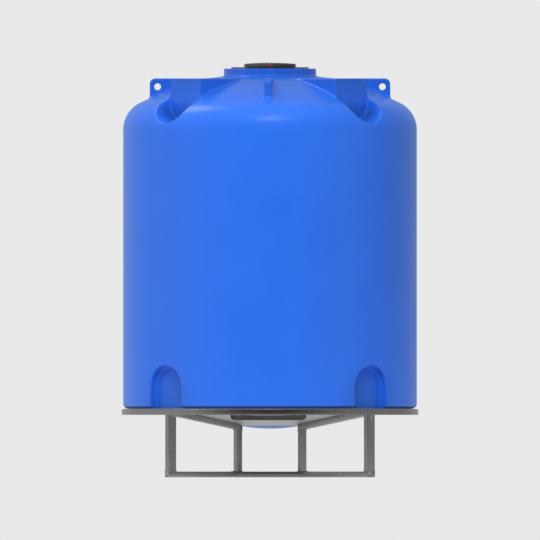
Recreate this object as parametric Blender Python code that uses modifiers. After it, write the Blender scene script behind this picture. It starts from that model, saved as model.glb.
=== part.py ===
"""A cone-bottomed plastic liquid tank of the 5000 litre class on a welded square-tube stand.

The tank is one hollow rotomoulded shell with a domed top, four lifting lugs, four ribs that end in
tie-down pockets, and four arched recesses at its foot. It rests by its own weight on a sheet-steel
cone pan that a round ring and four radial frames carry. A black flange on the neck takes a screw-in
lid with a small spring-loaded breather. Metres, +Z up, the origin on the floor under the tank's axis.
"""

import bmesh
import bpy
from math import acos, atan, atan2, cos, degrees, hypot, pi, radians, sin, sqrt, tau
from mathutils import Matrix, Vector

GAP = 0.0003  # left between pieces that touch
CUT_MARGIN = 0.1  # how far a cutter reaches past what it cuts
UP = Vector((0.0, 0.0, 1.0))
TURN_STEPS = 48  # facets round the stand's ring, the pan and the tank
LID_STEPS = 24  # facets round the lid and the neck flange
SCREW_STEPS = 8  # facets round a screw
VENT_STEPS = 12  # facets round the breather's pieces

# Stand
TUBE = 0.035  # side of the square steel tube
TUBE_WALL = 0.003
FRAME_ANGLES = (45, 135, 225, 315)  # directions of the radial frames, in degrees
SIDE_ANGLES = (0, 90, 180, 270)  # directions between the frames
OUTER_LEG_RADIUS = 0.861  # distance from the tank's axis to an outer leg's centre
INNER_LEG_RADIUS = 0.2786
RING_RADIUS = 0.909
RING_TOP = 0.4173
RING_HEIGHT = 0.035
RING_WALL = 0.004
RING_FLANGE = 0.044  # width of the ring's top flange
CONE_SLOPE = 0.155  # rise over run of the cone pan and of the tank's bottom
PAN_APEX = 0.2835  # height where the pan's underside would meet the axis
PAN_SHEET = 0.003
PAN_HOLE_RADIUS = 0.212
PAN_LIP_RADIUS = 0.893
STIFFENER_DISTANCE = 0.620
STIFFENER_WIDTH = 0.466
STIFFENER_BOTTOM = 0.350
STIFFENER_CORNER = 0.026
STIFFENER_SHEET = 0.004
NOTCH_WIDTH = 0.030  # drain notch under each bottom rail
NOTCH_DEPTH = 0.004

# Tank
TANK_RADIUS = 0.900
WALL = 0.009
CORNER_RADIUS = 0.028  # where the tank's wall turns into its bottom cone
APEX_RADIUS = 0.950
CROWN_RADIUS = 1.800
KNUCKLE_RADIUS = 0.180
KNUCKLE_HEIGHT = 2.132  # where the straight wall ends
NECK_RADIUS = 0.282
NECK_TOP = 2.505
MOUTH_RADIUS = 0.165
BLOCK_TOP = 2.445  # flat top of the ribs and of the lugs
RIB_WIDTH = 0.267
RIB_START = 0.300
RIB_END = 0.720  # end face of a rib and back wall of its pocket
RIB_OVERLAP = 0.012  # how far a rib runs on before its pocket trims it
POCKET_CLEARANCE = 0.001  # a pocket is this much wider than its rib, on each side
POCKET_ARC_HEIGHT = 2.304
LUG_THICKNESS = 0.045
LUG_START = 0.340
LUG_END = 0.737
LUG_FOOT = 2.232  # buried in the dome
LUG_CORNER = 0.034
LUG_HOLE_RADIUS = 0.021
LUG_HOLE_REACH = 0.689
LUG_HOLE_HEIGHT = 2.394
RECESS_WIDTH = 0.266
RECESS_ARC_HEIGHT = 0.553
RECESS_BACK = 0.839

# Neck flange and lid
GASKET_THICKNESS = 0.002
GASKET_RADII = (0.170, 0.236)
FLANGE_RADIUS = 0.239
FLANGE_THICKNESS = 0.006
FLANGE_EDGE = 0.004  # drop of the flange's rounded rim
FLANGE_BORE = 0.1442
SLEEVE_RADIUS = 0.152
SLEEVE_DEPTH = 0.045  # how far the flange's threaded sleeve reaches below the flange
FLANGE_SCREWS = 8
SCREW_CIRCLE_RADIUS = 0.212
SCREW_RADIUS = 0.004
SCREW_HEAD_RADIUS = 0.008
SCREW_HEAD_DEPTH = 0.004
SCREW_LENGTH = 0.016  # it bites in the neck's plastic and doesn't come through
SCREW_HOLE_RISE = 0.003  # how far the cutter of a screw's hole stands proud of the flange
SEAL_THICKNESS = 0.0023
SEAL_RADII = (0.1455, 0.155)
LID_TOP = 2.541
LID_CROWN_RISE = 0.006
LID_CROWN_RADIUS = 0.151
LID_SHOULDER_RADIUS = 0.156
LID_FOOT_RADIUS = 0.162
LID_WALL = 0.004
LID_FOOT_WALL = 0.006
LID_SKIRT_RADIUS = 0.1425
LID_SKIRT_DEPTH = 0.040

# Breather on the lid's front, measured outwards from the face of its boss
VENT_ANGLE = 270
VENT_HEIGHT = 2.5255
BOSS_FACE = 0.1635  # distance from the tank's axis to the boss's face
BOSS_LENGTH = 0.011
BOSS_RADIUS = 0.0085
VENT_HOLE_RADIUS = 0.0060
VENT_STEM_RADIUS = 0.0056
VENT_STEM_LENGTH = 0.0145
VENT_FLANGE_RADIUS = 0.0080
VENT_FLANGE = 0.0020
VENT_BORE = 0.0042
SEAT_BORE = 0.0022
SEAT_BACK = 0.0005
VENT_CAP_RADIUS = 0.0095
VENT_CAP_LENGTH = 0.0085
VENT_CAP_WALL = 0.0012
VENT_CAP_CORNER = 0.003
POPPET_RADIUS = 0.0038
POPPET_THICKNESS = 0.0012
POPPET_STEM_RADIUS = 0.0011
POPPET_STEM_END = -0.0140
RETAINER_RADII = (0.0016, 0.0039)
RETAINER_ENDS = (-0.0140, -0.0128)
SPRING_RADIUS = 0.0027
SPRING_WIRE_RADIUS = 0.00035
SPRING_TURNS = 3

# Heights that follow from the dimensions above
CONE_ANGLE = atan(CONE_SLOPE)
SHEET_RISE = PAN_SHEET / cos(CONE_ANGLE)
TUBE_RISE = TUBE / cos(CONE_ANGLE)
TANK_APEX = PAN_APEX + SHEET_RISE + GAP
CORNER_CENTRE = TANK_RADIUS - CORNER_RADIUS
CORNER_HEIGHT = TANK_APEX + CONE_SLOPE * CORNER_CENTRE + CORNER_RADIUS / cos(CONE_ANGLE)
APEX_CENTRE_HEIGHT = TANK_APEX + APEX_RADIUS / cos(CONE_ANGLE)
KNUCKLE_CENTRE = TANK_RADIUS - KNUCKLE_RADIUS
CROWN_CENTRE_HEIGHT = KNUCKLE_HEIGHT - sqrt(
    (CROWN_RADIUS - KNUCKLE_RADIUS) ** 2 - KNUCKLE_CENTRE**2
)
KNUCKLE_ANGLE = degrees(atan2(KNUCKLE_HEIGHT - CROWN_CENTRE_HEIGHT, KNUCKLE_CENTRE))
INNER_END = INNER_LEG_RADIUS - TUBE / 2
OUTER_END = OUTER_LEG_RADIUS + TUBE / 2
TIE_OFFSET = (INNER_END + TUBE / 2) / sqrt(2) + TUBE / 2
GASKET_BOTTOM = NECK_TOP + GAP
FLANGE_BOTTOM = GASKET_BOTTOM + GASKET_THICKNESS + GAP
FLANGE_TOP = FLANGE_BOTTOM + FLANGE_THICKNESS
SEAL_BOTTOM = FLANGE_TOP + GAP
LID_RIM = SEAL_BOTTOM + SEAL_THICKNESS + GAP


def clear_scene():
    for thing in list(bpy.data.objects):
        bpy.data.objects.remove(thing)


def collection(name):
    group = bpy.data.collections.new(name)
    bpy.context.scene.collection.children.link(group)
    return group


def material(name, colour, roughness, metallic=0.0):
    made = bpy.data.materials.new(name)
    made.use_nodes = True
    shader = made.node_tree.nodes["Principled BSDF"]
    shader.inputs["Base Color"].default_value = (*colour, 1.0)
    shader.inputs["Roughness"].default_value = roughness
    shader.inputs["Metallic"].default_value = metallic
    return made


clear_scene()
TANK_GROUP = collection("cone_bottom_tank")
CUTTER_GROUP = collection("cutters")
BLUE_PLASTIC = material("blue_polyethylene", (0.030, 0.150, 0.760), 0.38)
DARK_STEEL = material("dark_steel", (0.135, 0.135, 0.130), 0.45, 0.60)
PALE_SHEET = material("pale_sheet_steel", (0.55, 0.55, 0.54), 0.40, 0.60)
BLACK_PLASTIC = material("black_plastic", (0.020, 0.020, 0.019), 0.45)
BLACK_RUBBER = material("black_rubber", (0.015, 0.015, 0.015), 0.80)
RED_PLASTIC = material("red_plastic", (0.55, 0.03, 0.04), 0.40)
ZINC_STEEL = material("zinc_steel", (0.60, 0.60, 0.58), 0.35, 1.0)


def add_part(name, mesh, finish, placement=None):
    thing = bpy.data.objects.new(name, mesh)
    mesh.materials.clear()
    mesh.materials.append(finish)
    thing.matrix_world = placement or Matrix.Identity(4)
    TANK_GROUP.objects.link(thing)
    return thing


def add_cutter(name, mesh):
    thing = bpy.data.objects.new(name, mesh)
    thing.hide_render = True
    thing.display_type = "WIRE"
    CUTTER_GROUP.objects.link(thing)
    return thing


def boolean(target, other, operation):
    change = target.modifiers.new(f"{operation.lower()}_{other.name}", "BOOLEAN")
    change.operation = operation
    change.solver = "EXACT"
    change.object = other


def direction(angle):
    return Vector((cos(radians(angle)), sin(radians(angle)), 0.0))


def placed(origin, x_axis, z_axis):
    """A placement whose local X and Z lie along the given world directions."""
    y_axis = z_axis.cross(x_axis)
    turn = Matrix((x_axis, y_axis, z_axis)).transposed().to_4x4()
    return Matrix.Translation(origin) @ turn


def arc(centre, height, radius, start, end, steps):
    """Points of an arc in a radius-height plane, from start to end in degrees."""
    angles = [radians(start + (end - start) * i / steps) for i in range(steps + 1)]
    return [(centre + radius * cos(a), height + radius * sin(a)) for a in angles]


def outline_mesh(name, outline, closed):
    count = len(outline)
    edges = [(i, (i + 1) % count) for i in range(count if closed else count - 1)]
    mesh = bpy.data.meshes.new(name)
    mesh.from_pydata([(radius, 0.0, height) for radius, height in outline], edges, [])
    return mesh


def add_screw(thing, steps):
    """Turns an outline in the XZ plane about Z. The outline runs down its outer side."""
    turn = thing.modifiers.new("turn", "SCREW")
    turn.angle = tau
    turn.steps = steps
    turn.render_steps = steps
    turn.use_merge_vertices = True
    turn.merge_threshold = 0.00001
    turn.use_smooth_shade = True


def turned(name, outline, finish, steps, closed=True, placement=None):
    thing = add_part(name, outline_mesh(name, outline, closed), finish, placement)
    add_screw(thing, steps)
    return thing


def evaluated_mesh(thing):
    """The object's mesh with its modifiers applied and its caps welded. The object is removed."""
    bpy.context.view_layer.update()
    drawn = thing.evaluated_get(bpy.context.evaluated_depsgraph_get())
    mesh = bpy.data.meshes.new_from_object(drawn)
    bpy.data.objects.remove(thing)
    shape = bmesh.new()
    shape.from_mesh(mesh)
    bmesh.ops.remove_doubles(shape, verts=shape.verts, dist=0.00001)
    shape.to_mesh(mesh)
    shape.free()
    return mesh


def turned_mesh(name, outline, steps):
    thing = add_cutter(name, outline_mesh(name, outline, False))
    add_screw(thing, steps)
    return evaluated_mesh(thing)


def extruded(name, loops, depth):
    """A mesh of 2D loops in the local XY plane, inner loops being holes, extruded along Z."""
    curve = bpy.data.curves.new(name, "CURVE")
    curve.dimensions = "2D"
    curve.fill_mode = "BOTH"
    curve.extrude = depth / 2
    for loop in loops:
        spline = curve.splines.new("POLY")
        spline.points.add(len(loop) - 1)
        spline.use_cyclic_u = True
        for point, (x, y) in zip(spline.points, loop):
            point.co = (x, y, 0.0, 1.0)
    return evaluated_mesh(add_cutter(name, curve))


def box_mesh(name, low, high):
    middle = (Vector(low) + Vector(high)) / 2
    size = Vector(high) - Vector(low)
    shape = bmesh.new()
    bmesh.ops.create_cube(shape, size=1.0)
    bmesh.ops.scale(shape, vec=size, verts=shape.verts)
    bmesh.ops.translate(shape, vec=middle, verts=shape.verts)
    mesh = bpy.data.meshes.new(name)
    shape.to_mesh(mesh)
    shape.free()
    return mesh


def bar_mesh(name, radius, length, steps):
    """A round bar along local Z, centred on the origin."""
    shape = bmesh.new()
    bmesh.ops.create_cone(
        shape, cap_ends=True, segments=steps, radius1=radius, radius2=radius, depth=length
    )
    mesh = bpy.data.meshes.new(name)
    shape.to_mesh(mesh)
    shape.free()
    return mesh


def repeated(name, mesh, placements):
    """One mesh that holds a copy of the given mesh at each placement."""
    shape = bmesh.new()
    for placement in placements:
        copy = mesh.copy()
        copy.transform(placement)
        shape.from_mesh(copy)
        bpy.data.meshes.remove(copy)
    joined = bpy.data.meshes.new(name)
    shape.to_mesh(joined)
    shape.free()
    return joined


def turned_about_z(angle):
    return Matrix.Rotation(radians(angle), 4, "Z")


def facing(angle, distance):
    """Local X across, local Y up and local Z outwards, at a distance from the tank's axis."""
    outward = direction(angle)
    across = UP.cross(outward)
    return placed(outward * distance, across, outward)


# The stand


def square_loop(side):
    half = side / 2
    return [(-half, -half), (half, -half), (half, half), (-half, half)]


def square_tube(name, length, placement, start_slope=0.0, end_slope=0.0):
    """A tube along local Z from 0 to length. A slope tips that end's cut along local X."""
    loops = [square_loop(TUBE), square_loop(TUBE - 2 * TUBE_WALL)]
    mesh = extruded(name, loops, length)
    for vertex in mesh.vertices:
        at_start = vertex.co.z < 0
        slope = start_slope if at_start else end_slope
        vertex.co.z = (0.0 if at_start else length) + slope * vertex.co.x
    return add_part(name, mesh, DARK_STEEL, placement)


def pan_underside(radius):
    return PAN_APEX + CONE_SLOPE * radius


def rail_underside(radius):
    return pan_underside(radius) - GAP - TUBE_RISE


def bottom_rail(number, angle, notches):
    outward = direction(angle)
    start = outward * INNER_END + UP * TUBE / 2
    name = f"bottom_rail_{number}"
    rail = square_tube(name, OUTER_END - INNER_END, placed(start, UP, outward))
    boolean(rail, notches, "DIFFERENCE")


def notch_cutters():
    """Round bars across the rails whose lowest part cuts the drain notches."""
    radius = (NOTCH_WIDTH**2 / 4 + NOTCH_DEPTH**2) / (2 * NOTCH_DEPTH)
    bar = bar_mesh("notch_bar", radius, 2 * TUBE, 32)
    middle = (INNER_END + OUTER_END) / 2
    placements = []
    for angle in FRAME_ANGLES:
        outward = direction(angle)
        across = UP.cross(outward)
        centre = outward * middle + UP * (NOTCH_DEPTH - radius)
        placements.append(placed(centre, outward, across))
    return add_cutter("notch_cutters", repeated("notch_cutters", bar, placements))


def outer_leg(number, angle):
    foot = direction(angle) * OUTER_LEG_RADIUS + UP * (TUBE + GAP)
    top = RING_TOP - RING_WALL - GAP
    placement = placed(foot, direction(angle), UP)
    square_tube(f"outer_leg_{number}", top - TUBE - GAP, placement)


def inner_leg(number, angle):
    foot = direction(angle) * INNER_LEG_RADIUS + UP * (TUBE + GAP)
    top = rail_underside(INNER_LEG_RADIUS) - GAP
    placement = placed(foot, direction(angle), UP)
    square_tube(f"inner_leg_{number}", top - TUBE - GAP, placement, end_slope=CONE_SLOPE)


def sloped_rail(number, angle):
    """It runs under the pan, over the inner leg, and its outer end meets the outer leg."""
    outward = direction(angle)
    up = UP
    along = (outward + up * CONE_SLOPE).normalized()
    across = (up - outward * CONE_SLOPE).normalized()
    end = OUTER_LEG_RADIUS - TUBE / 2 - GAP
    middle_height = pan_underside(INNER_END) - GAP - TUBE_RISE / 2
    start = outward * INNER_END + up * middle_height
    length = (end - INNER_END) / cos(CONE_ANGLE)
    square_tube(
        f"sloped_rail_{number}", length, placed(start, across, along), CONE_SLOPE, CONE_SLOPE
    )


def base_tie(number, angle):
    """A floor tie between two bottom rails, with mitred ends."""
    outward = direction(angle)
    along = UP.cross(outward)
    half = TIE_OFFSET - (TUBE / 2 + GAP) * sqrt(2)
    start = outward * TIE_OFFSET - along * half + UP * (TUBE / 2)
    square_tube(f"base_tie_{number}", 2 * half, placed(start, outward, along), -1.0, 1.0)


def top_ring():
    """A rolled angle: an upright band with a flange turned in at its top."""
    inner = RING_RADIUS - RING_WALL
    flange = RING_RADIUS - RING_FLANGE
    bottom = RING_TOP - RING_HEIGHT
    below = RING_TOP - RING_WALL
    outline = [
        (RING_RADIUS, RING_TOP),
        (RING_RADIUS, bottom),
        (inner, bottom),
        (inner, below),
        (flange, below),
        (flange, RING_TOP),
    ]
    turned("top_ring", outline, DARK_STEEL, TURN_STEPS)


def cone_pan():
    """A dished sheet with a hole round the tank's apex and a flat lip on the ring."""
    lip_bottom = RING_TOP + GAP
    lip_top = lip_bottom + PAN_SHEET
    outline = [
        (PAN_HOLE_RADIUS, pan_underside(PAN_HOLE_RADIUS) + SHEET_RISE),
        ((lip_top - PAN_APEX - SHEET_RISE) / CONE_SLOPE, lip_top),
        (PAN_LIP_RADIUS, lip_top),
        (PAN_LIP_RADIUS, lip_bottom),
        ((lip_bottom - PAN_APEX) / CONE_SLOPE, lip_bottom),
        (PAN_HOLE_RADIUS, pan_underside(PAN_HOLE_RADIUS)),
    ]
    turned("cone_pan", outline, PALE_SHEET, TURN_STEPS)


def pan_stiffener(number, angle):
    """An upright plate under the pan whose top edge follows the cone."""
    half = STIFFENER_WIDTH / 2
    corner = half - STIFFENER_CORNER
    low = STIFFENER_BOTTOM + STIFFENER_CORNER
    near = STIFFENER_DISTANCE - STIFFENER_SHEET / 2
    across = [half - half * i / 4 for i in range(9)]
    top = [(x, pan_underside(hypot(near, x)) - GAP) for x in across]
    left = arc(-corner, low, STIFFENER_CORNER, 180, 270, 4)
    right = arc(corner, low, STIFFENER_CORNER, 270, 360, 4)
    name = f"pan_stiffener_{number}"
    mesh = extruded(name, [left + right + top], STIFFENER_SHEET)
    add_part(name, mesh, DARK_STEEL, facing(angle, STIFFENER_DISTANCE))


# The tank


def body_outline(inset):
    """The tank's section from the neck's foot round to the apex, moved inwards by inset."""
    neck_angle = degrees(acos((NECK_RADIUS - inset) / (CROWN_RADIUS - inset)))
    cone_tip = degrees(CONE_ANGLE) - 90
    crown = arc(0, CROWN_CENTRE_HEIGHT, CROWN_RADIUS - inset, neck_angle, KNUCKLE_ANGLE, 5)
    knuckle = arc(KNUCKLE_CENTRE, KNUCKLE_HEIGHT, KNUCKLE_RADIUS - inset, KNUCKLE_ANGLE, 0, 6)
    corner = arc(CORNER_CENTRE, CORNER_HEIGHT, CORNER_RADIUS - inset, 0, cone_tip, 4)
    apex = arc(0, APEX_CENTRE_HEIGHT, APEX_RADIUS - inset, cone_tip, -90, 3)
    apex[-1] = (0.0, APEX_CENTRE_HEIGHT - APEX_RADIUS + inset)
    return crown + knuckle[1:] + corner + apex


def u_loop(half_width, arc_height, open_height):
    """A slot with parallel sides that ends in a half circle on the side away from its opening."""
    start, end = (180, 360) if open_height > arc_height else (0, 180)
    round_end = arc(0.0, arc_height, half_width, start, end, 12)
    last, first = round_end[-1][0], round_end[0][0]
    return round_end + [(last, open_height), (first, open_height)]


def radial_slots(name, half_width, arc_height, open_height, back):
    """Four U-shaped slots that run outwards from a flat back wall, one in each frame direction."""
    depth = TANK_RADIUS + CUT_MARGIN - back
    mesh = extruded(name, [u_loop(half_width, arc_height, open_height)], depth)
    places = [facing(angle, back + depth / 2) for angle in FRAME_ANGLES]
    return add_cutter(name, repeated(name, mesh, places))


def pocket_slots(name, inset):
    half_width = RIB_WIDTH / 2 + POCKET_CLEARANCE + inset
    top = NECK_TOP + CUT_MARGIN
    return radial_slots(name, half_width, POCKET_ARC_HEIGHT, top, RIB_END - inset)


def recess_slots(name, inset):
    half_width = RECESS_WIDTH / 2 + inset
    foot = TANK_APEX - CUT_MARGIN
    return radial_slots(name, half_width, RECESS_ARC_HEIGHT, foot, RECESS_BACK - inset)


def rib_blocks(name, inset):
    """The four ribs, which reach into the pockets so that the pockets trim them."""
    half = RIB_WIDTH / 2 - inset
    low = (RIB_START, -half, KNUCKLE_HEIGHT)
    high = (RIB_END + RIB_OVERLAP, half, BLOCK_TOP - inset)
    block = box_mesh(name, low, high)
    return add_cutter(name, repeated(name, block, map(turned_about_z, FRAME_ANGLES)))


def lug_plates():
    """Four upright plates with a rounded outer top corner and a round lifting hole."""
    corner = arc(LUG_END - LUG_CORNER, BLOCK_TOP - LUG_CORNER, LUG_CORNER, 0, 90, 5)
    outer = [(LUG_START, LUG_FOOT), (LUG_END, LUG_FOOT)] + corner + [(LUG_START, BLOCK_TOP)]
    hole = arc(LUG_HOLE_REACH, LUG_HOLE_HEIGHT, LUG_HOLE_RADIUS, 0, 337.5, 15)
    plate = extruded("lug_plate", [outer, hole], LUG_THICKNESS)
    plate.transform(Matrix.Rotation(pi / 2, 4, "X"))
    places = map(turned_about_z, SIDE_ANGLES)
    return add_cutter("lug_plates", repeated("lug_plates", plate, places))


def tank_cavity():
    """The space inside the shell, with its way out through the mouth."""
    below_top = NECK_TOP - WALL
    mouth = [(0.0, NECK_TOP + WALL), (MOUTH_RADIUS, NECK_TOP + WALL), (MOUTH_RADIUS, below_top)]
    outline = mouth + [(NECK_RADIUS - WALL, below_top)] + body_outline(WALL)
    cavity = add_cutter("tank_cavity", outline_mesh("tank_cavity", outline, False))
    add_screw(cavity, TURN_STEPS)
    boolean(cavity, rib_blocks("rib_spaces", WALL), "UNION")
    boolean(cavity, pocket_slots("pocket_walls", WALL), "DIFFERENCE")
    boolean(cavity, recess_slots("recess_walls", WALL), "DIFFERENCE")
    return cavity


def tank_shell(holes):
    outline = [(0.0, NECK_TOP), (NECK_RADIUS, NECK_TOP)] + body_outline(0.0)
    shell = turned("tank_shell", outline, BLUE_PLASTIC, TURN_STEPS, closed=False)
    boolean(shell, rib_blocks("rib_blocks", 0.0), "UNION")
    boolean(shell, lug_plates(), "UNION")
    boolean(shell, pocket_slots("pockets", 0.0), "DIFFERENCE")
    boolean(shell, recess_slots("recesses", 0.0), "DIFFERENCE")
    boolean(shell, tank_cavity(), "DIFFERENCE")
    boolean(shell, holes, "DIFFERENCE")


# The neck flange, its gasket and its screws


def screw_outline(clearance):
    """A countersunk screw's section down from its head, or its hole's, which is wider."""
    head = SCREW_HEAD_RADIUS + clearance
    shank = SCREW_RADIUS + clearance
    tip = FLANGE_TOP - SCREW_LENGTH - clearance
    neck = FLANGE_TOP - SCREW_HEAD_DEPTH
    outline = [(0.0, FLANGE_TOP), (head, FLANGE_TOP), (shank, neck), (shank, tip), (0.0, tip)]
    if clearance:
        top = FLANGE_TOP + SCREW_HOLE_RISE
        outline[:1] = [(0.0, top), (head, top)]
    return outline


def screw_places():
    angles = [360 * (i + 0.5) / FLANGE_SCREWS for i in range(FLANGE_SCREWS)]
    return [Matrix.Translation(direction(angle) * SCREW_CIRCLE_RADIUS) for angle in angles]


def screw_holes():
    hole = turned_mesh("screw_hole", screw_outline(GAP), SCREW_STEPS)
    return add_cutter("screw_holes", repeated("screw_holes", hole, screw_places()))


def flange_screws():
    for number, place in enumerate(screw_places(), 1):
        name = f"flange_screw_{number}"
        turned(name, screw_outline(0.0), ZINC_STEEL, SCREW_STEPS, False, place)


def flange_gasket(holes):
    inner, outer = GASKET_RADII
    top = GASKET_BOTTOM + GASKET_THICKNESS
    outline = [(outer, top), (outer, GASKET_BOTTOM), (inner, GASKET_BOTTOM), (inner, top)]
    gasket = turned("flange_gasket", outline, BLACK_RUBBER, LID_STEPS)
    boolean(gasket, holes, "DIFFERENCE")


def neck_flange(holes):
    """A flat ring with a rounded rim and a sleeve down into the mouth."""
    outline = [
        (FLANGE_BORE, FLANGE_TOP),
        (FLANGE_RADIUS - 2 * FLANGE_EDGE, FLANGE_TOP),
        (FLANGE_RADIUS - FLANGE_EDGE / 2, FLANGE_TOP - FLANGE_EDGE / 3),
        (FLANGE_RADIUS, FLANGE_TOP - FLANGE_EDGE),
        (FLANGE_RADIUS, FLANGE_BOTTOM),
        (SLEEVE_RADIUS, FLANGE_BOTTOM),
        (SLEEVE_RADIUS, FLANGE_BOTTOM - SLEEVE_DEPTH),
        (FLANGE_BORE, FLANGE_BOTTOM - SLEEVE_DEPTH),
    ]
    flange = turned("neck_flange", outline, BLACK_PLASTIC, LID_STEPS)
    boolean(flange, holes, "DIFFERENCE")


# The lid


def crown_height(radius):
    return LID_TOP - LID_CROWN_RISE * (radius / LID_CROWN_RADIUS) ** 2


def crown(drop, reach):
    """The lid's shallow crown from the axis out, lowered by drop."""
    return [(reach * i / 4, crown_height(reach * i / 4) - drop) for i in range(5)]


def lid_outline():
    """A hollow cap with a tapered side and a skirt that screws into the flange's sleeve."""
    edge = LID_SHOULDER_RADIUS - LID_CROWN_RADIUS
    edge_height = crown_height(LID_CROWN_RADIUS) - edge
    floor = LID_RIM + LID_WALL
    skirt_inner = LID_SKIRT_RADIUS - LID_WALL
    outer = crown(0.0, LID_CROWN_RADIUS) + arc(LID_CROWN_RADIUS, edge_height, edge, 60, 0, 2)
    foot = [
        (LID_FOOT_RADIUS, LID_RIM),
        (LID_SKIRT_RADIUS, LID_RIM),
        (LID_SKIRT_RADIUS, LID_RIM - LID_SKIRT_DEPTH),
        (skirt_inner, LID_RIM - LID_SKIRT_DEPTH),
        (skirt_inner, floor),
        (LID_FOOT_RADIUS - LID_FOOT_WALL, floor),
    ]
    inner = crown(LID_WALL, LID_CROWN_RADIUS)[::-1]
    return outer + foot + inner


def vent_place():
    return facing(VENT_ANGLE, BOSS_FACE) @ Matrix.Translation((0.0, VENT_HEIGHT, 0.0))


def lid_cap():
    lid = turned("lid_cap", lid_outline(), BLACK_PLASTIC, LID_STEPS, closed=False)
    boss = bar_mesh("vent_boss", BOSS_RADIUS, BOSS_LENGTH, 2 * VENT_STEPS)
    boss.transform(vent_place() @ Matrix.Translation((0.0, 0.0, -BOSS_LENGTH / 2)))
    hole = bar_mesh("vent_hole", VENT_HOLE_RADIUS, 4 * BOSS_LENGTH, 2 * VENT_STEPS)
    hole.transform(vent_place())
    boolean(lid, add_cutter("vent_boss", boss), "UNION")
    boolean(lid, add_cutter("vent_hole", hole), "DIFFERENCE")


def lid_seal():
    inner, outer = SEAL_RADII
    top = SEAL_BOTTOM + SEAL_THICKNESS
    outline = [(outer, top), (outer, SEAL_BOTTOM), (inner, SEAL_BOTTOM), (inner, top)]
    turned("lid_seal", outline, BLACK_RUBBER, LID_STEPS)


# The breather, turned about its own axis, which points out of the lid's front


def vent_piece(name, outline, finish, closed=True):
    turned(name, outline, finish, VENT_STEPS, closed, vent_place())


def vent_body():
    outline = [
        (VENT_FLANGE_RADIUS, VENT_FLANGE),
        (VENT_FLANGE_RADIUS, GAP),
        (VENT_STEM_RADIUS, GAP),
        (VENT_STEM_RADIUS, -VENT_STEM_LENGTH),
        (VENT_BORE, -VENT_STEM_LENGTH),
        (VENT_BORE, SEAT_BACK),
        (SEAT_BORE, SEAT_BACK),
        (SEAT_BORE, VENT_FLANGE),
    ]
    vent_piece("vent_body", outline, BLACK_PLASTIC)


def vent_cap():
    """A rain cover over the body's flange, open towards the lid so that air gets in."""
    foot = 2 * GAP
    roof = VENT_CAP_LENGTH - VENT_CAP_WALL
    outer = arc(
        VENT_CAP_RADIUS - VENT_CAP_CORNER,
        VENT_CAP_LENGTH - VENT_CAP_CORNER,
        VENT_CAP_CORNER,
        90,
        0,
        3,
    )
    inner_radius = VENT_CAP_RADIUS - VENT_CAP_WALL
    outline = [(0.0, VENT_CAP_LENGTH)] + outer + [(VENT_CAP_RADIUS, foot), (inner_radius, foot)]
    outline += [(inner_radius, roof), (0.0, roof)]
    vent_piece("vent_cap", outline, RED_PLASTIC, closed=False)


def vent_poppet():
    """A valve disc that seals on the seat from inside, with a guide stem behind it."""
    face = SEAT_BACK - GAP
    back = face - POPPET_THICKNESS
    outline = [
        (0.0, face),
        (POPPET_RADIUS, face),
        (POPPET_RADIUS, back),
        (POPPET_STEM_RADIUS, back),
        (POPPET_STEM_RADIUS, POPPET_STEM_END),
        (0.0, POPPET_STEM_END),
    ]
    vent_piece("vent_poppet", outline, BLACK_RUBBER, closed=False)


def vent_retainer():
    inner, outer = RETAINER_RADII
    low, high = RETAINER_ENDS
    outline = [(outer, high), (outer, low), (inner, low), (inner, high)]
    vent_piece("vent_retainer", outline, ZINC_STEEL)


def vent_spring():
    """A coil between the poppet's disc and the retainer."""
    low = RETAINER_ENDS[1] + GAP + SPRING_WIRE_RADIUS
    high = SEAT_BACK - 2 * GAP - POPPET_THICKNESS - SPRING_WIRE_RADIUS
    count = 10 * SPRING_TURNS
    curve = bpy.data.curves.new("vent_spring", "CURVE")
    curve.dimensions = "3D"
    curve.bevel_depth = SPRING_WIRE_RADIUS
    curve.bevel_resolution = 1
    curve.use_fill_caps = True
    coil = curve.splines.new("POLY")
    coil.points.add(count)
    for i, point in enumerate(coil.points):
        turn = tau * SPRING_TURNS * i / count
        along = low + (high - low) * i / count
        point.co = (SPRING_RADIUS * cos(turn), SPRING_RADIUS * sin(turn), along, 1.0)
    mesh = evaluated_mesh(add_cutter("vent_spring", curve))
    add_part("vent_spring", mesh, ZINC_STEEL, vent_place())


def build_stand():
    top_ring()
    cone_pan()
    notches = notch_cutters()
    for number, angle in enumerate(FRAME_ANGLES, 1):
        outer_leg(number, angle)
        inner_leg(number, angle)
        sloped_rail(number, angle)
        bottom_rail(number, angle, notches)
    for number, angle in enumerate(SIDE_ANGLES, 1):
        base_tie(number, angle)
        pan_stiffener(number, angle)


def build_tank():
    holes = screw_holes()
    tank_shell(holes)
    flange_gasket(holes)
    neck_flange(holes)
    flange_screws()


def build_lid():
    lid_cap()
    lid_seal()
    vent_body()
    vent_cap()
    vent_poppet()
    vent_retainer()
    vent_spring()


build_stand()
build_tank()
build_lid()
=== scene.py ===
"""Looks for the cone-bottomed tank on its stand. Metres, +Z up, the origin on the floor."""

from math import atan, atan2, cos, hypot, pi, radians, sin, sqrt, tau

import bmesh
import bpy
import numpy as np
from mathutils import Matrix, Vector


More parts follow.
